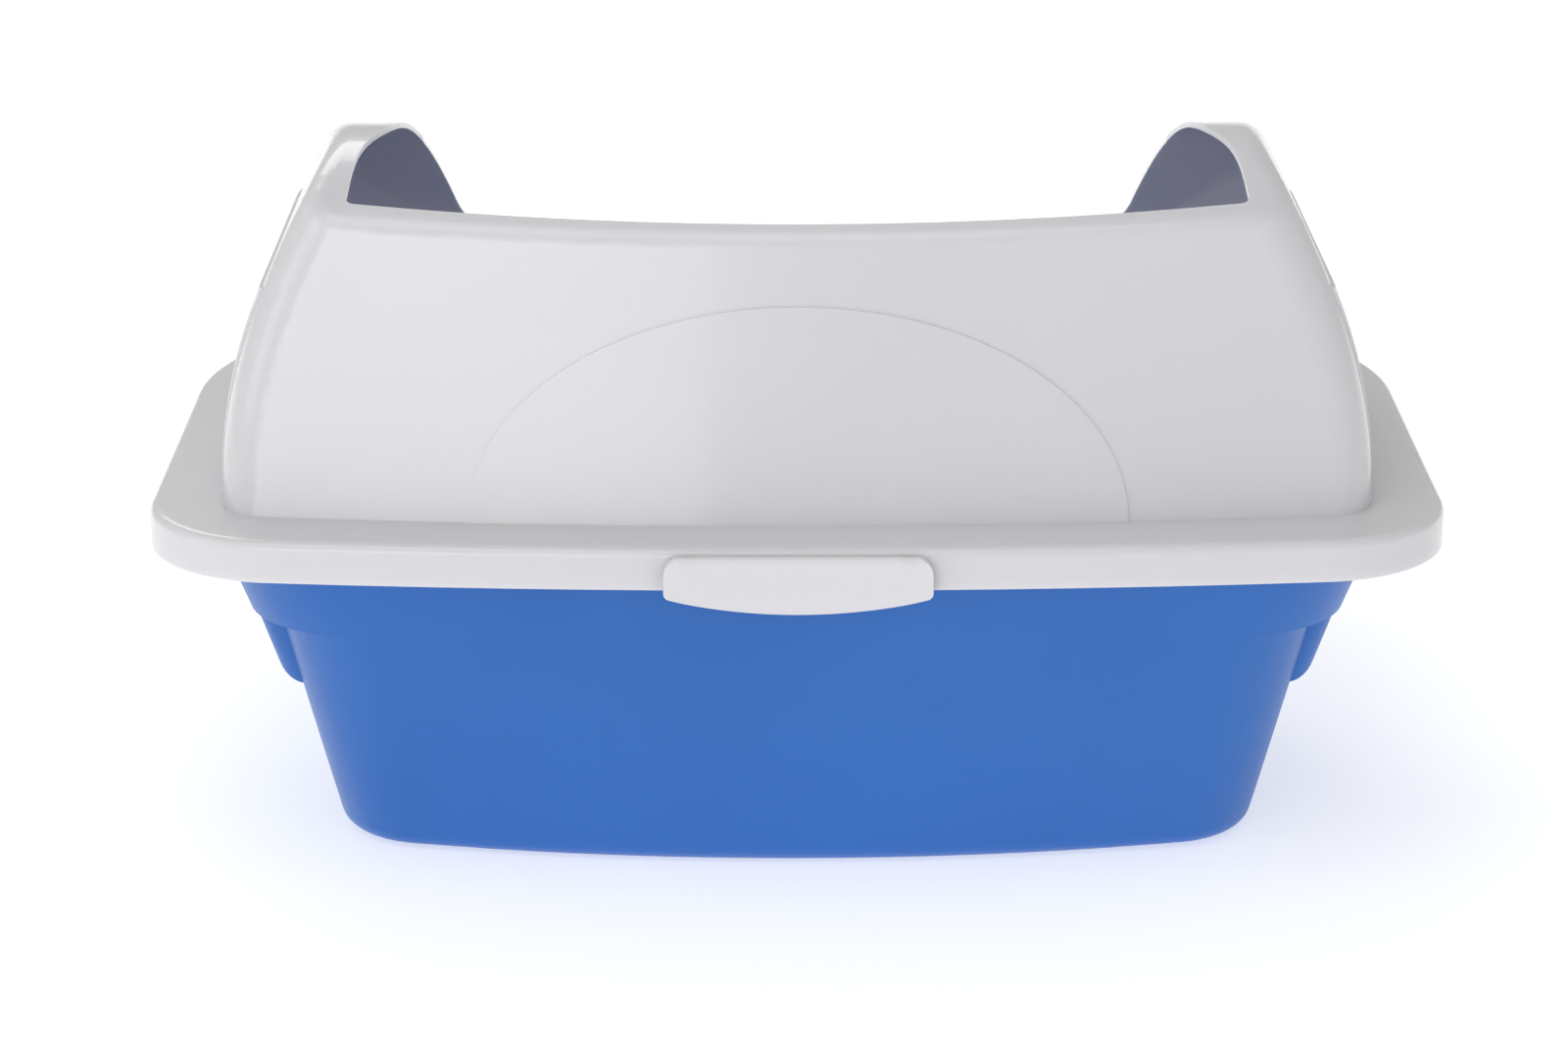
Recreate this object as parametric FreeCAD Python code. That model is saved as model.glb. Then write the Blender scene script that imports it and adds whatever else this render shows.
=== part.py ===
import FreeCAD, Part
import math
import os
from FreeCAD import Vector

# Hooded cat litter box: a drafted pan, an open-topped hood that rests on the
# pan's flange, and two snap latches hinged on the hood's skirt. Millimetres.
# +Z is up, the origin is the middle of the footprint on the floor, the front
# (latch and embossed arc) faces -Y and the cat's entry faces +Y.

os.makedirs("parts", exist_ok=True)

# ---- rim ----
RIM_HALF_W = 280.0
RIM_HALF_D = 190.0
RIM_TOP_Z = 170.0
RIM_BOW_R = 2400.0
RIM_NEAR_R = 62.0
RIM_FAR_R = 140.0
RIM_WALL = 2.5
SKIRT_H = 18.0
SKIRT_EDGE_R = 4.0
SKIRT_CLEARANCE = 1.5

# ---- hood ----
HOOD_WALL = 2.5
LEDGE_W = 32.0
THROAT_STEP = 0.8
HOOD_LEAN = 12.0
HOOD_NEAR_BOW_R = 2100.0
HOOD_FAR_BOW_R = 5000.0
HOOD_SIDE_PROFILE = ((0.0, 0.0), (55.0, 6.5), (100.0, 22.0), (150.0, 49.0))
HOOD_NEAR_R = (20.0, 24.0)
HOOD_FAR_R = (108.0, 84.0)
ROOF_SLOPE = 25.0
ROOF_ARCH = ((-96.0, 307.9), (-72.0, 314.6), (-40.0, 315.0), (20.0, 303.0), (80.0, 279.0),
             (114.0, 254.0), (150.0, 212.0))
ROOF_TAIL_Y = 70.0
ROOF_TAIL_DROP = 90.0
ROOF_PRISM_BELOW = 60.0
SHOULDER_R = 12.0
ARC_HALF_W = 141.0
ARC_H = 91.0
ARC_RELIEF = 0.7
ARC_TOOL_Y = -100.0
SIDE_PANEL_RELIEF = 1.6
SIDE_PANEL_Y = (-112.0, 84.0)
SIDE_PANEL_TOP = 262.0

# ---- opening in the hood ----
BROW_Z = 291.0
OPENING_LIP = 6.0
OPENING_BOW = 13.0
OPENING_SIDE = ((192.5, -113.3), (191.5, -98.0), (188.5, -74.0), (181.0, -40.0), (176.5, 0.0),
                (174.5, 50.0), (168.0, 95.0))
OPENING_NEAR_R = 4.0
SILL_Z = 214.0
ENTRY_SILL_HALF_W = 156.0
ENTRY_TOP_HALF_W = 173.0
ENTRY_TOP_Z = 282.0
ENTRY_FLARE = 3.0
ENTRY_START_Y = 60.0
ENTRY_DEPTH = 140.0
ENTRY_CORNER_R = 34.0
CUT_TOP_Z = 340.0

# ---- pan ----
PAN_WALL = 2.6
PAN_FLOOR = 3.0
PAN_CUT_OVER = 3.0
PAN_TOP_Z = RIM_TOP_Z - RIM_WALL
PAN_BASE_HALF_W = 205.0
PAN_DRAFT = 12.5
PAN_BASE_NEAR_Y = -125.0
PAN_BASE_BOW_R = 850.0
PAN_TOP_BOW_R = 2000.0
PAN_FAR_BOW_R = 2400.0
PAN_NEAR_R = (44.0, 56.0)
PAN_FAR_R = (84.0, 106.0)
PAN_EDGE_R = 10.0
LIP_H = 13.9
FOOT_H = 1.2
FOOT_HALF_W = 166.0
FOOT_IN = 8.0
FOOT_NEAR_R = 30.0
FOOT_FAR_R = 60.0
FLANGE_EDGE_R = 1.5
FLARE_DRAFT = 18.5
FLARE_HALF_W = 261.5
FLARE_LOW_Z = 112.0
BAND_EXTRA_R = 6.0
BULGE_LOW_Z = 74.0
BULGE_Y = (-92.0, 52.0)
BULGE_SPREAD = 4.0
BULGE_IN_X = 150.0
BULGE_STEP_IN = 0.8
BULGE_OVERLAP = 8.0
BULGE_EDGE_R = 14.0

# ---- latch ----
LATCH_HALF_W = 56.5
LATCH_PLATE = 1.8
LATCH_CORNER_R = 8.0
LATCH_FOLD_Z = 152.5
LATCH_LOW_Z = 141.5
LATCH_END_Z = 149.5
LATCH_FOLD_R = 0.6
LATCH_END_R = 4.0
TONGUE_LEAN = 5.0
KNUCKLE_R = 2.7
KNUCKLE_GAP = 0.3
PIN_R = 0.95
BORE_R = 1.0
BOSS_R = 1.8
BOSS_X = (44.0, 48.0)
BOSS_SIDE_GAP = 0.4
BOSS_RING_GAP = 0.25
BOSS_WEB_IN = 1.5
BOSS_WEB_DROP = 0.4
BOSS_SLOT_DEPTH = 10.0
BOSS_SLOT_HALF_H = 6.0
HOOK_HALF_W = 40.0
HOOK_REACH = 1.2
HOOK_DROP = 3.5
HOOK_THICK = 2.4
HOOK_ROOT = 0.6
HOOK_TIP_R = 1.0

# Cutting and joining shapes run this far past the faces they meet.
OVERLAP = 1.0

AXIS_Y = -(RIM_HALF_D + KNUCKLE_GAP + KNUCKLE_R)
AXIS_Z = RIM_TOP_Z - 4.7
LATCH_FRONT_Y = AXIS_Y - KNUCKLE_R


def tan(degrees):
    return math.tan(math.radians(degrees))


def sagitta(half_w, bow_r):
    return bow_r - math.sqrt(bow_r * bow_r - half_w * half_w)


def section(z, half_w, near_y, far_y, near_bow_r, far_bow_r):
    """Closed four-edge outline: front and rear edges bowed on a radius, straight sides."""
    near_in = sagitta(half_w, near_bow_r)
    far_in = sagitta(half_w, far_bow_r)
    a = Vector(-half_w, near_y + near_in, z)
    b = Vector(half_w, near_y + near_in, z)
    c = Vector(half_w, far_y - far_in, z)
    d = Vector(-half_w, far_y - far_in, z)
    front = Part.Arc(a, Vector(0, near_y, z), b).toShape()
    rear = Part.Arc(c, Vector(0, far_y, z), d).toShape()
    return Part.Wire([front, Part.makeLine(b, c), rear, Part.makeLine(d, a)])


def corner_edges(solid, near):
    """The two upright corner edges on the near (or far) side of a drafted block."""
    found = []
    for edge in solid.Edges:
        low, high = sorted((v.Z for v in edge.Vertexes))[:2] if len(edge.Vertexes) > 1 else (0, 0)
        mid_y = sum(v.Y for v in edge.Vertexes) / len(edge.Vertexes)
        if high - low > 1.0 and (mid_y < 0) == near:
            found.append(edge)
    return found


def round_corners(solid, near_r, far_r):
    """Fillet the upright corners; each radius is a (bottom, top) pair."""
    solid = solid.makeFillet(near_r[0], near_r[1], corner_edges(solid, True))
    return solid.makeFillet(far_r[0], far_r[1], corner_edges(solid, False))


def hood_form(inset, relief=0.0, side_relief=0.0):
    """Solid dome of the hood above the ledge, shrunk by inset on every face."""
    sections = []
    for rise, side_in in HOOD_SIDE_PROFILE:
        wall_in = rise * tan(HOOD_LEAN) + inset
        half_w = RIM_HALF_W - LEDGE_W - side_in - inset + side_relief
        near_y = -(RIM_HALF_D - LEDGE_W) + wall_in - relief
        far_y = RIM_HALF_D - LEDGE_W - wall_in
        sections.append(section(RIM_TOP_Z + rise, half_w, near_y, far_y, HOOD_NEAR_BOW_R, HOOD_FAR_BOW_R))
    dome = Part.makeLoft(sections, True, False)
    near_r = [r - inset for r in HOOD_NEAR_R]
    far_r = [r - inset for r in HOOD_FAR_R]
    dome = round_corners(dome, near_r, far_r).Solids[0]
    dome = dome.common(roof_prism(inset)).removeSplitter().Solids[0]
    return dome.makeFillet(SHOULDER_R - inset, roof_edges(dome)).Solids[0]


def roof_prism(inset):
    """Everything under the roof line, which rises from the brow and falls to the entry."""
    points = [Vector(-RIM_HALF_W, y, z - inset) for y, z in ROOF_ARCH]
    rise = Vector(0, math.cos(math.radians(ROOF_SLOPE)), math.sin(math.radians(ROOF_SLOPE)))
    arch = Part.BSplineCurve()
    arch.interpolate(Points=points, InitialTangent=rise)
    front_y = -RIM_HALF_D
    front = Vector(-RIM_HALF_W, front_y, points[0].z - (points[0].y - front_y) * tan(ROOF_SLOPE))
    back = points[-1] + Vector(0, ROOF_TAIL_Y, -ROOF_TAIL_DROP)
    floor_z = RIM_TOP_Z - ROOF_PRISM_BELOW
    corners = [back, Vector(-RIM_HALF_W, back.y, floor_z), Vector(-RIM_HALF_W, front_y, floor_z), front]
    lines = [Part.makeLine(points[-1], back)]
    lines += [Part.makeLine(p, q) for p, q in zip(corners, corners[1:])]
    profile = Part.Wire([Part.makeLine(front, points[0]), arch.toShape()] + lines)
    return Part.Face(profile).extrude(Vector(2 * RIM_HALF_W, 0, 0))


def roof_edges(dome):
    """The loop of edges where the walls meet the roof."""
    found = []
    crease_y = ROOF_ARCH[0][0]
    for edge in dome.Edges:
        crosswise = all(abs(v.Y - crease_y) < 0.5 for v in edge.Vertexes)
        if min(v.Z for v in edge.Vertexes) > RIM_TOP_Z + 20 and not crosswise:
            found.append(edge)
    return found


def box(x0, x1, y0, y1, z0, z1):
    return Part.makeBox(x1 - x0, y1 - y0, z1 - z0, Vector(x0, y0, z0))


def rim_block(inset, z0, z1):
    """Flat block with the outline of the rim, shrunk by inset."""
    outline = section(z0, RIM_HALF_W - inset, -RIM_HALF_D + inset, RIM_HALF_D - inset, RIM_BOW_R, RIM_BOW_R)
    block = Part.Face(outline).extrude(Vector(0, 0, z1 - z0))
    return round_corners(block, [RIM_NEAR_R - inset] * 2, [RIM_FAR_R - inset] * 2).Solids[0]


def level_edges(block, z):
    """Edges that lie wholly at height z."""
    return [e for e in block.Edges if all(abs(v.Z - z) < 1e-6 for v in e.Vertexes)]


def entry_cutters():
    """The opening: a slot over the roof and a wide U down the rear wall."""
    near_y = -(RIM_HALF_D - LEDGE_W) + (BROW_Z - RIM_TOP_Z) * tan(HOOD_LEAN) + OPENING_LIP
    z = (SILL_Z + ROOF_ARCH[0][1]) / 2
    right = [Vector(x, y, z) for x, y in OPENING_SIDE]
    right[0].y = near_y + OPENING_BOW
    left = [Vector(-p.x, p.y, z) for p in reversed(right)]
    sides = []
    for points in (right, left):
        curve = Part.BSplineCurve()
        curve.interpolate(points)
        sides.append(curve.toShape())
    front = Part.Arc(left[-1], Vector(0, near_y, z), right[0]).toShape()
    rear = Part.makeLine(right[-1], left[0])
    slot = Part.Face(Part.Wire([front, sides[0], rear, sides[1]])).extrude(Vector(0, 0, CUT_TOP_Z - z))
    slot = slot.makeFillet(OPENING_NEAR_R, straight_edges(slot, right[0].y))
    low = ENTRY_SILL_HALF_W
    top = ENTRY_TOP_HALF_W
    half = [(low, SILL_Z), (top, ENTRY_TOP_Z), (top + ENTRY_FLARE, CUT_TOP_Z)]
    u = [Vector(x, ENTRY_START_Y, z) for x, z in half]
    u += [Vector(-x, ENTRY_START_Y, z) for x, z in reversed(half)]
    entry = Part.Face(Part.makePolygon(u + u[:1])).extrude(Vector(0, ENTRY_DEPTH, 0))
    sill_corners = [e for e in entry.Edges if all(abs(v.Z - SILL_Z) < 1e-6 for v in e.Vertexes)
                    and abs(e.Vertexes[0].X - e.Vertexes[-1].X) < 1e-6]
    entry = entry.makeFillet(ENTRY_CORNER_R, sill_corners)
    return slot.Solids[0], entry.Solids[0]


def straight_edges(solid, y):
    """Upright edges of a straight extrusion whose ends stand at the given y."""
    return [e for e in solid.Edges if all(abs(v.Y - y) < 1e-6 for v in e.Vertexes)
            and abs(e.Vertexes[0].Z - e.Vertexes[-1].Z) > 1]


def make_hood():
    outer = hood_form(0.0)
    inner = hood_form(HOOD_WALL)
    ellipse = Part.Ellipse(Vector(0, 0, 0), ARC_HALF_W, ARC_H).toShape()
    arc_face = Part.Face(Part.Wire(ellipse))
    arc_face.rotate(Vector(0, 0, 0), Vector(1, 0, 0), 90)
    arc_face.translate(Vector(0, ARC_TOOL_Y, RIM_TOP_Z))
    arc_tool = arc_face.extrude(Vector(0, -RIM_HALF_D - ARC_TOOL_Y, 0))
    arc = hood_form(0.0, ARC_RELIEF).common(arc_tool)
    panel_region = box(-RIM_HALF_W, RIM_HALF_W, *SIDE_PANEL_Y, RIM_TOP_Z, SIDE_PANEL_TOP)
    panels = hood_form(0.0, 0.0, SIDE_PANEL_RELIEF).common(panel_region)
    dome = outer.fuse([arc, panels])
    ledge = rim_block(0.0, RIM_TOP_Z - SKIRT_H, RIM_TOP_Z)
    ledge = ledge.makeFillet(SKIRT_EDGE_R, level_edges(ledge, RIM_TOP_Z)).Solids[0]
    hollow = rim_block(RIM_WALL, RIM_TOP_Z - SKIRT_H - OVERLAP, RIM_TOP_Z - RIM_WALL)
    throat = throat_block(HOOD_WALL + THROAT_STEP)
    slot, entry = entry_cutters()
    hood = dome.fuse(ledge).cut([hollow, inner, throat, slot, entry])
    for side in (1, -1):
        hood = hood.fuse(latch_bosses(side))
    return hood.removeSplitter()


def throat_block(inset):
    """Straight throat that opens the dome down through the ledge, a little inside the dome's wall."""
    half_w = RIM_HALF_W - LEDGE_W - inset
    near_y = -(RIM_HALF_D - LEDGE_W) + inset
    low_z = RIM_TOP_Z - RIM_WALL - OVERLAP
    outline = section(low_z, half_w, near_y, -near_y, HOOD_NEAR_BOW_R, HOOD_FAR_BOW_R)
    block = Part.Face(outline).extrude(Vector(0, 0, RIM_WALL + 2 * OVERLAP))
    return round_corners(block, [HOOD_NEAR_R[0] - inset] * 2, [HOOD_FAR_R[0] - inset] * 2).Solids[0]


def x_cylinder(radius, x0, x1):
    return Part.makeCylinder(radius, x1 - x0, Vector(x0, AXIS_Y, AXIS_Z), Vector(1, 0, 0))


def turned(shape, side):
    """The rear latch is the front one turned half a turn about the vertical."""
    if side < 0:
        shape = shape.copy()
        shape.rotate(Vector(0, 0, 0), Vector(0, 0, 1), 180)
    return shape


def latch_bosses(side):
    bosses = []
    for x0, x1 in (BOSS_X, (-BOSS_X[1], -BOSS_X[0])):
        ring = x_cylinder(BOSS_R, x0, x1)
        web = box(x0, x1, AXIS_Y, -RIM_HALF_D + BOSS_WEB_IN, AXIS_Z - BOSS_R, AXIS_Z - BOSS_WEB_DROP)
        bore = x_cylinder(BORE_R, x0 - OVERLAP, x1 + OVERLAP)
        bosses.append(turned(ring.fuse(web).cut(bore), side))
    return bosses


def make_latch(side):
    y = LATCH_FRONT_Y
    inner_y = y + LATCH_PLATE
    w = LATCH_HALF_W
    # plate above the fold
    plate = box(-w, w, y, inner_y, LATCH_FOLD_Z, AXIS_Z)
    knuckle = x_cylinder(KNUCKLE_R, -w, w)
    # tongue below the fold, turned in under the skirt
    profile = [Vector(-w, y, LATCH_FOLD_Z), Vector(-w, inner_y, LATCH_FOLD_Z),
               Vector(-w, inner_y + TONGUE_LEAN, LATCH_LOW_Z), Vector(-w, y + TONGUE_LEAN, LATCH_LOW_Z)]
    tongue = Part.Face(Part.makePolygon(profile + profile[:1])).extrude(Vector(2 * w, 0, 0))
    # front outline: rounded top corners, curved lower edge
    top = AXIS_Z + KNUCKLE_R
    r = LATCH_CORNER_R
    k = r * (1 - math.sqrt(0.5))
    p = [Vector(-w, 0, LATCH_END_Z), Vector(-w, 0, top - r), Vector(-w + r, 0, top), Vector(w - r, 0, top),
         Vector(w, 0, top - r), Vector(w, 0, LATCH_END_Z)]
    outline = Part.Wire([
        Part.makeLine(p[0], p[1]),
        Part.Arc(p[1], Vector(-w + k, 0, top - k), p[2]).toShape(),
        Part.makeLine(p[2], p[3]),
        Part.Arc(p[3], Vector(w - k, 0, top - k), p[4]).toShape(),
        Part.makeLine(p[4], p[5]),
        Part.Arc(p[5], Vector(0, 0, LATCH_LOW_Z), p[0]).toShape()])
    stamp = Part.Face(outline)
    stamp.translate(Vector(0, y - OVERLAP, 0))
    stamp = stamp.extrude(Vector(0, 2 * LATCH_PLATE + 2 * TONGUE_LEAN, 0))
    stamp = stamp.makeFillet(LATCH_END_R, level_edges(stamp, LATCH_END_Z))
    latch = plate.fuse([knuckle, tongue]).removeSplitter()
    fold = [e for e in latch.Edges if all(abs(v.Z - LATCH_FOLD_Z) < 1e-6 and abs(v.Y - y) < 1e-6
                                          for v in e.Vertexes)]
    latch = latch.makeFillet(LATCH_FOLD_R, fold).common(stamp)
    # hook that reaches under the pan's lip
    lip_y = -(RIM_HALF_D - RIM_WALL - SKIRT_CLEARANCE)
    hook_top = PAN_TOP_Z - LIP_H - HOOK_DROP
    hook = box(-HOOK_HALF_W, HOOK_HALF_W, inner_y + HOOK_ROOT, lip_y + HOOK_REACH,
               hook_top - HOOK_THICK, hook_top)
    tips = straight_edges(hook, lip_y + HOOK_REACH)
    hook = hook.makeFillet(HOOK_TIP_R, tips)
    latch = latch.fuse(hook)
    # gaps for the hood's two bosses, crossed by the pins
    for x0, x1 in (BOSS_X, (-BOSS_X[1], -BOSS_X[0])):
        x0 = x0 - BOSS_SIDE_GAP
        x1 = x1 + BOSS_SIDE_GAP
        gap = x_cylinder(BOSS_R + BOSS_RING_GAP, x0, x1)
        back = box(x0, x1, AXIS_Y, AXIS_Y + BOSS_SLOT_DEPTH,
                   AXIS_Z - BOSS_SLOT_HALF_H, AXIS_Z + BOSS_SLOT_HALF_H)
        latch = latch.cut([gap, back]).fuse(x_cylinder(PIN_R, x0 - OVERLAP, x1 + OVERLAP))
    return turned(latch.removeSplitter(), side)


def pan_outline(z, inset, half_w):
    """Outline of the pan at height z for a given half-width; the front flattens towards the top."""
    near_y = PAN_BASE_NEAR_Y - z * tan(PAN_DRAFT) + inset
    share = z / PAN_TOP_Z
    curvature = (1 - share) / PAN_BASE_BOW_R + share / PAN_TOP_BOW_R
    return section(z, half_w, near_y, -near_y, 1 / curvature, PAN_FAR_BOW_R)


def pan_block(low_z, high_z, half_w_at, inset, extra_r):
    """Drafted block between two heights with rounded upright corners."""
    block = Part.makeLoft([pan_outline(z, inset, half_w_at(z, inset)) for z in (low_z, high_z)], True, True)
    corner_r = []
    for base_r, top_r in (PAN_NEAR_R, PAN_FAR_R):
        radii = [base_r + (top_r - base_r) * z / PAN_TOP_Z + extra_r - inset for z in (low_z, high_z)]
        corner_r.append(radii)
    return round_corners(block, *corner_r).Solids[0]


def tub_at(z, inset):
    return PAN_BASE_HALF_W + z * tan(PAN_DRAFT) - inset


def flare_at(z, inset):
    return FLARE_HALF_W - (PAN_TOP_Z - z) * tan(FLARE_DRAFT) - inset


def bulge_form(inset, side):
    """Rounded side bulge that hangs below the wide upper band and runs a little way up inside it."""
    low_z = BULGE_LOW_Z + inset
    top_z = FLARE_LOW_Z + inset + BULGE_OVERLAP
    wires = []
    for z, spread in ((low_z, 0.0), (top_z, BULGE_SPREAD)):
        near_y = BULGE_Y[0] + inset - spread
        far_y = BULGE_Y[1] - inset + spread
        in_x = BULGE_IN_X
        out_x = flare_at(z, inset) - BULGE_STEP_IN
        corners = [Vector(in_x, near_y, z), Vector(out_x, near_y, z),
                   Vector(out_x, far_y, z), Vector(in_x, far_y, z)]
        wires.append(Part.makePolygon(corners + corners[:1]))
    block = Part.makeLoft(wires, True, True)
    outer_edges = []
    for edge in block.Edges:
        outside = all(v.X > BULGE_IN_X + OVERLAP for v in edge.Vertexes)
        low = all(abs(v.Z - low_z) < 1e-6 for v in edge.Vertexes)
        upright = abs(edge.Vertexes[0].Z - edge.Vertexes[-1].Z) > 1
        if outside and (low or upright):
            outer_edges.append(edge)
    block = block.makeFillet(BULGE_EDGE_R - inset, outer_edges).Solids[0]
    return block if side > 0 else block.mirror(Vector(0, 0, 0), Vector(1, 0, 0))


def pan_form(inset, floor_z, top_z):
    """Solid fill of the pan: drafted tub, the side bulges, and the wider band stacked on top."""
    step_z = FLARE_LOW_Z + inset
    tub = pan_block(floor_z, step_z, tub_at, inset, 0.0)
    bottom = [e for e in tub.Edges if all(abs(v.Z - floor_z) < 1e-6 for v in e.Vertexes)]
    tub = tub.makeFillet(PAN_EDGE_R - 1.5 * inset, bottom).Solids[0]
    for side in (1, -1):
        tub = tub.fuse(bulge_form(inset, side))
    return tub.fuse(pan_block(step_z, top_z, flare_at, inset, BAND_EXTRA_R))


def make_pan():
    outer = pan_form(0.0, FOOT_H, PAN_TOP_Z)
    inner = pan_form(PAN_WALL, FOOT_H + PAN_FLOOR, PAN_TOP_Z + PAN_CUT_OVER)
    inset = RIM_WALL + SKIRT_CLEARANCE
    flange = rim_block(inset, PAN_TOP_Z - LIP_H, PAN_TOP_Z)
    flange = flange.makeFillet(FLANGE_EDGE_R, level_edges(flange, PAN_TOP_Z)).Solids[0]
    under = rim_block(inset + PAN_WALL, PAN_TOP_Z - LIP_H - OVERLAP, PAN_TOP_Z - PAN_WALL)
    flange = flange.cut(under)
    foot_y = PAN_BASE_NEAR_Y + FOOT_IN
    foot = Part.Face(section(0, FOOT_HALF_W, foot_y, -foot_y, PAN_BASE_BOW_R, PAN_FAR_BOW_R))
    foot = foot.extrude(Vector(0, 0, FOOT_H + OVERLAP / 2))
    foot = round_corners(foot, [FOOT_NEAR_R] * 2, [FOOT_FAR_R] * 2).Solids[0]
    return outer.fuse(flange).fuse(foot).cut(inner).Solids[0]


def save(name, shape):
    shape.exportStep("parts/%s.step" % name)
    box = shape.BoundBox
    print("%-12s solids %d valid %s volume %.0f  x %.1f..%.1f y %.1f..%.1f z %.1f..%.1f" % (
        name, len(shape.Solids), shape.isValid(), shape.Volume,
        box.XMin, box.XMax, box.YMin, box.YMax, box.ZMin, box.ZMax))


save("pan", make_pan())
save("hood", make_hood())
save("front_latch", make_latch(1))
save("rear_latch", make_latch(-1))
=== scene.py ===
import bpy
import math
from mathutils import Vector, Matrix

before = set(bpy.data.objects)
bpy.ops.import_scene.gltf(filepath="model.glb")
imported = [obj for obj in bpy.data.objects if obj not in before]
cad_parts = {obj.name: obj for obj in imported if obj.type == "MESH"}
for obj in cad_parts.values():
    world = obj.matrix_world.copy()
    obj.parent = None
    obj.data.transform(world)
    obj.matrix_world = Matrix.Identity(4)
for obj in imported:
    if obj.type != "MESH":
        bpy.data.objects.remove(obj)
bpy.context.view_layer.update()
print("frame loaded:", sorted(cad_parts))


def addNode(tree, kind, x, y, **values):
    node = tree.nodes.new(kind)
    node.location = (x, y)
    for name, value in values.items():
        setattr(node, name, value)
    return node


def setInputs(node, **values):
    for name, value in values.items():
        node.inputs[name.replace("_", " ")].default_value = value


grainShare = 0.12  # height of the fine grain beside the slow waves
edgePointiness = (0.52, 0.62)  # where rubbing starts and where it is full
speckleScale = 90.0


# fine moulded grain: height for the bump and a mask for roughness
def buildMouldGrain():
    group = bpy.data.node_groups.new("mouldGrain", "ShaderNodeTree")
    face = group.interface
    face.new_socket("Vector", in_out="INPUT", socket_type="NodeSocketVector")
    face.new_socket("Grain Scale", in_out="INPUT", socket_type="NodeSocketFloat")
    face.new_socket("Wave Scale", in_out="INPUT", socket_type="NodeSocketFloat")
    face.new_socket("Height", in_out="OUTPUT", socket_type="NodeSocketFloat")
    face.new_socket("Mask", in_out="OUTPUT", socket_type="NodeSocketFloat")
    start = addNode(group, "NodeGroupInput", -900, 0)
    end = addNode(group, "NodeGroupOutput", 500, 0)
    grain = addNode(group, "ShaderNodeTexNoise", -650, 150)
    setInputs(grain, Detail=6.0, Roughness=0.6)
    waves = addNode(group, "ShaderNodeTexNoise", -650, -150)
    setInputs(waves, Detail=2.0, Roughness=0.4)
    sink = addNode(group, "ShaderNodeMath", -400, 150, operation="MULTIPLY")
    sink.inputs[1].default_value = grainShare
    total = addNode(group, "ShaderNodeMath", -150, 100, operation="ADD")
    link = group.links.new
    link(start.outputs["Vector"], grain.inputs["Vector"])
    link(start.outputs["Vector"], waves.inputs["Vector"])
    link(start.outputs["Grain Scale"], grain.inputs["Scale"])
    link(start.outputs["Wave Scale"], waves.inputs["Scale"])
    link(grain.outputs["Fac"], sink.inputs[0])
    link(sink.outputs[0], total.inputs[0])
    link(waves.outputs["Fac"], total.inputs[1])
    link(total.outputs[0], end.inputs["Height"])
    link(waves.outputs["Fac"], end.inputs["Mask"])
    return group


# light rubbing on the corners, broken up by speckle
def buildHandling():
    group = bpy.data.node_groups.new("handlingWear", "ShaderNodeTree")
    face = group.interface
    face.new_socket("Color", in_out="INPUT", socket_type="NodeSocketColor")
    face.new_socket("Rubbed Color", in_out="INPUT", socket_type="NodeSocketColor")
    face.new_socket("Amount", in_out="INPUT", socket_type="NodeSocketFloat")
    face.new_socket("Vector", in_out="INPUT", socket_type="NodeSocketVector")
    face.new_socket("Color", in_out="OUTPUT", socket_type="NodeSocketColor")
    face.new_socket("Wear", in_out="OUTPUT", socket_type="NodeSocketFloat")
    start = addNode(group, "NodeGroupInput", -1000, 0)
    end = addNode(group, "NodeGroupOutput", 500, 0)
    shape = addNode(group, "ShaderNodeNewGeometry", -1000, 300)
    edges = addNode(group, "ShaderNodeMapRange", -750, 300)
    setInputs(edges, From_Min=edgePointiness[0], From_Max=edgePointiness[1])
    speckle = addNode(group, "ShaderNodeTexNoise", -750, 0)
    setInputs(speckle, Scale=speckleScale, Detail=4.0, Roughness=0.6)
    broken = addNode(group, "ShaderNodeMath", -500, 200, operation="MULTIPLY")
    scaled = addNode(group, "ShaderNodeMath", -300, 200, operation="MULTIPLY", use_clamp=True)
    mixed = addNode(group, "ShaderNodeMix", 100, 100, data_type="RGBA")
    link = group.links.new
    link(shape.outputs["Pointiness"], edges.inputs["Value"])
    link(start.outputs["Vector"], speckle.inputs["Vector"])
    link(edges.outputs["Result"], broken.inputs[0])
    link(speckle.outputs["Fac"], broken.inputs[1])
    link(broken.outputs[0], scaled.inputs[0])
    link(start.outputs["Amount"], scaled.inputs[1])
    link(scaled.outputs[0], mixed.inputs["Factor"])
    link(start.outputs["Color"], mixed.inputs["A"])
    link(start.outputs["Rubbed Color"], mixed.inputs["B"])
    link(mixed.outputs["Result"], end.inputs["Color"])
    link(scaled.outputs[0], end.inputs["Wear"])
    return group


mouldGrain = buildMouldGrain()
handlingWear = buildHandling()
noiseSpan = (0.3, 0.7)  # the part of a noise's range that the ramps use
wornRoughness = 0.25  # roughness that full wear adds
coatThinning = 0.8  # coat left where the surface is roughest


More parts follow.
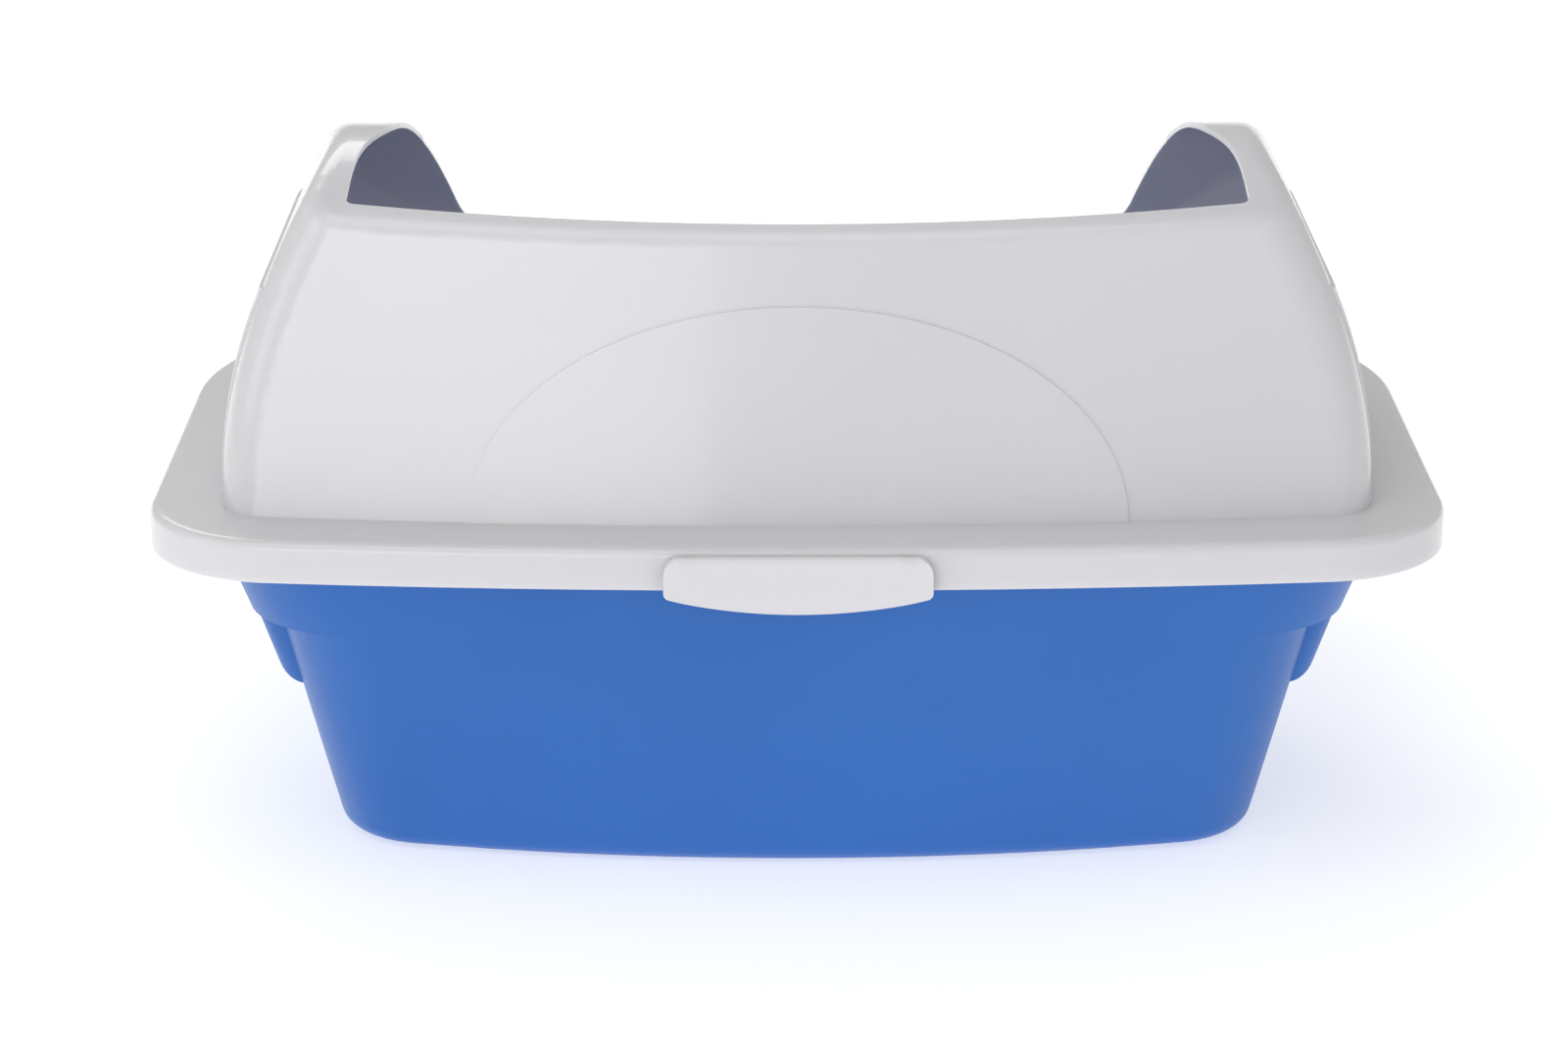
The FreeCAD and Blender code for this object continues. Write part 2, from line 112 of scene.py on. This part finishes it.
# moulded plastic: every finish of the part is this one with its own values
def mouldedPlastic(name, look):
    material = bpy.data.materials.new(name)
    material.use_nodes = True
    tree = material.node_tree
    tree.nodes.clear()
    link = tree.links.new
    output = addNode(tree, "ShaderNodeOutputMaterial", 900, 0)
    shader = addNode(tree, "ShaderNodeBsdfPrincipled", 600, 0)
    setInputs(shader, IOR=look["ior"], Specular_IOR_Level=look["specular"],
              Coat_Roughness=look["coatRoughness"],
              Subsurface_Weight=look["subsurface"], Subsurface_Radius=look["glow"],
              Subsurface_Scale=look["glowDepth"],
              Sheen_Weight=look["sheen"], Sheen_Roughness=0.5)
    place = addNode(tree, "ShaderNodeTexCoord", -900, 0)
    grain = addNode(tree, "ShaderNodeGroup", -600, -200, node_tree=mouldGrain)
    setInputs(grain, Grain_Scale=look["grainScale"], Wave_Scale=look["waveScale"])
    tint = addNode(tree, "ShaderNodeTexNoise", -600, 250)
    setInputs(tint, Scale=look["tintScale"], Detail=5.0, Roughness=0.55)
    ramp = addNode(tree, "ShaderNodeValToRGB", -350, 250)
    ramp.color_ramp.elements[0].position = noiseSpan[0]
    ramp.color_ramp.elements[0].color = (*look["darkColor"], 1)
    ramp.color_ramp.elements[1].position = noiseSpan[1]
    ramp.color_ramp.elements[1].color = (*look["lightColor"], 1)
    wear = addNode(tree, "ShaderNodeGroup", 0, 250, node_tree=handlingWear)
    setInputs(wear, Rubbed_Color=(*look["rubbedColor"], 1), Amount=look["wearAmount"])
    rough = addNode(tree, "ShaderNodeMapRange", 0, -50)
    setInputs(rough, From_Min=noiseSpan[0], From_Max=noiseSpan[1],
              To_Min=look["smoothest"], To_Max=look["roughest"])
    roughWorn = addNode(tree, "ShaderNodeMath", 250, -50, operation="MULTIPLY_ADD", use_clamp=True)
    roughWorn.inputs[1].default_value = wornRoughness
    coat = addNode(tree, "ShaderNodeMapRange", 250, -250)
    setInputs(coat, From_Min=noiseSpan[0], From_Max=noiseSpan[1],
              To_Min=look["coat"], To_Max=look["coat"] * coatThinning)
    bump = addNode(tree, "ShaderNodeBump", 250, -450)
    setInputs(bump, Strength=look["bumpStrength"], Distance=look["bumpDistance"])
    link(place.outputs["Object"], grain.inputs["Vector"])
    link(place.outputs["Object"], tint.inputs["Vector"])
    link(place.outputs["Object"], wear.inputs["Vector"])
    link(tint.outputs["Fac"], ramp.inputs["Fac"])
    link(ramp.outputs["Color"], wear.inputs["Color"])
    link(wear.outputs["Color"], shader.inputs["Base Color"])
    link(grain.outputs["Mask"], rough.inputs["Value"])
    link(wear.outputs["Wear"], roughWorn.inputs[0])
    link(rough.outputs["Result"], roughWorn.inputs[2])
    link(roughWorn.outputs[0], shader.inputs["Roughness"])
    link(grain.outputs["Mask"], coat.inputs["Value"])
    link(coat.outputs["Result"], shader.inputs["Coat Weight"])
    link(grain.outputs["Height"], bump.inputs["Height"])
    link(bump.outputs["Normal"], shader.inputs["Normal"])
    link(shader.outputs["BSDF"], output.inputs["Surface"])
    return material


hoodLook = {
    "darkColor": (0.665, 0.655, 0.675),
    "lightColor": (0.7, 0.69, 0.71),
    "rubbedColor": (0.75, 0.74, 0.76),
    "wearAmount": 0.35,
    "smoothest": 0.16,
    "roughest": 0.24,
    "ior": 1.5,
    "specular": 0.5,
    "coat": 0.35,
    "coatRoughness": 0.06,
    "subsurface": 0.45,
    "glow": (1.0, 0.97, 1.0),
    "glowDepth": 0.006,
    "sheen": 0.0,
    "grainScale": 900.0,
    "waveScale": 7.0,
    "tintScale": 3.0,
    "bumpStrength": 0.12,
    "bumpDistance": 0.0006,
}
panLook = {
    "darkColor": (0.012, 0.122, 0.45),
    "lightColor": (0.022, 0.152, 0.52),
    "rubbedColor": (0.09, 0.25, 0.62),
    "wearAmount": 0.4,
    "smoothest": 0.34,
    "roughest": 0.44,
    "ior": 1.48,
    "specular": 0.45,
    "coat": 0.08,
    "coatRoughness": 0.3,
    "subsurface": 0.03,
    "glow": (0.3, 0.6, 1.0),
    "glowDepth": 0.003,
    "sheen": 0.0,
    "grainScale": 1100.0,
    "waveScale": 6.0,
    "tintScale": 4.0,
    "bumpStrength": 0.2,
    "bumpDistance": 0.0005,
}
# the latches are the hood's plastic, a touch paler and less translucent
latchLook = dict(
    hoodLook,
    darkColor=(0.68, 0.67, 0.69),
    lightColor=(0.71, 0.7, 0.72),
    wearAmount=0.15,
    subsurface=0.1,
    waveScale=14.0,
)

finishes = {
    "hood": mouldedPlastic("glossHoodWhite", hoodLook),
    "pan": mouldedPlastic("satinPanBlue", panLook),
    "front_latch": mouldedPlastic("glossLatchWhite", latchLook),
}
finishes["rear_latch"] = finishes["front_latch"]
print("finishes made:", len(finishes))

for name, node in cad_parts.items():
    node.data.materials.clear()
    node.data.materials.append(finishes[name])


studio = {
    "floorSize": 14.0,
    "floorPlace": (0, 2.5, 0),
    "paperColors": ((0.74, 0.74, 0.74), (0.77, 0.77, 0.77)),
    "paperGlow": 0.54,
    "worldColor": (1.0, 1.0, 1.0),
    "worldStrength": 0.52,
}

bpy.ops.object.select_all(action="DESELECT")
bpy.ops.mesh.primitive_plane_add(size=studio["floorSize"], location=studio["floorPlace"])
floor = bpy.context.object
floor.name = "studioFloor"
bpy.ops.object.transform_apply(location=True)
paper = bpy.data.materials.new("studioPaper")
paper.use_nodes = True
paperShader = paper.node_tree.nodes["Principled BSDF"]
setInputs(paperShader, Roughness=0.9, Specular_IOR_Level=0.1,
          Emission_Color=(1, 1, 1, 1), Emission_Strength=studio["paperGlow"])
paperNoise = addNode(paper.node_tree, "ShaderNodeTexNoise", -500, 0)
setInputs(paperNoise, Scale=2.0)
paperRamp = addNode(paper.node_tree, "ShaderNodeValToRGB", -250, 0)
for stop, color in zip(paperRamp.color_ramp.elements, studio["paperColors"]):
    stop.color = (*color, 1)
paper.node_tree.links.new(paperNoise.outputs["Fac"], paperRamp.inputs["Fac"])
paper.node_tree.links.new(paperRamp.outputs["Color"], paperShader.inputs["Base Color"])
floor.data.materials.append(paper)

world = bpy.data.worlds.new("studioAir")
bpy.context.scene.world = world
world.use_nodes = True
world.node_tree.nodes["Background"].inputs["Color"].default_value = (*studio["worldColor"], 1)
world.node_tree.nodes["Background"].inputs["Strength"].default_value = studio["worldStrength"]


def softbox(name, place, aim, width, height, power):
    light = bpy.data.lights.new(name, "AREA")
    light.shape = "RECTANGLE"
    light.size = width
    light.size_y = height
    light.energy = power
    holder = bpy.data.objects.new(name, light)
    bpy.context.scene.collection.objects.link(holder)
    away = Vector(aim) - Vector(place)
    holder.matrix_world = Matrix.Translation(place) @ away.to_track_quat("-Z", "Y").to_matrix().to_4x4()


# name: place, aim, width, height, power
lamps = {
    "windowSoftbox": ((-1.2, -3.3, 0.95), (-0.2, 0, 0.25), 2.1, 1.5, 21.0),
    "overheadSoftbox": ((-0.5, -1.3, 2.5), (0, 0, 0.15), 2.2, 1.6, 13.0),
    "rearSoftbox": ((-0.6, 2.2, 1.9), (0, 0, 0.2), 1.8, 1.2, 14.0),
    "leftSoftbox": ((-2.6, -0.9, 1.2), (0, 0, 0.2), 1.2, 1.4, 5.0),
}
for name, values in lamps.items():
    softbox(name, *values)
print("studio lit")

view = {
    "place": (-0.0114, -1.9146, 0.7581),
    "elevation": 18.44,
    "turn": 0.18,
    "lens": 100.1,
}
camera = bpy.data.cameras.new("portraitCamera")
camera.lens = view["lens"]
camera.sensor_width = 36.0
cameraHolder = bpy.data.objects.new("portraitCamera", camera)
bpy.context.scene.collection.objects.link(cameraHolder)
cameraHolder.location = view["place"]
cameraHolder.rotation_euler = (math.radians(90 - view["elevation"]), 0, math.radians(-view["turn"]))
bpy.context.scene.camera = cameraHolder
bpy.context.scene.view_settings.view_transform = "Standard"
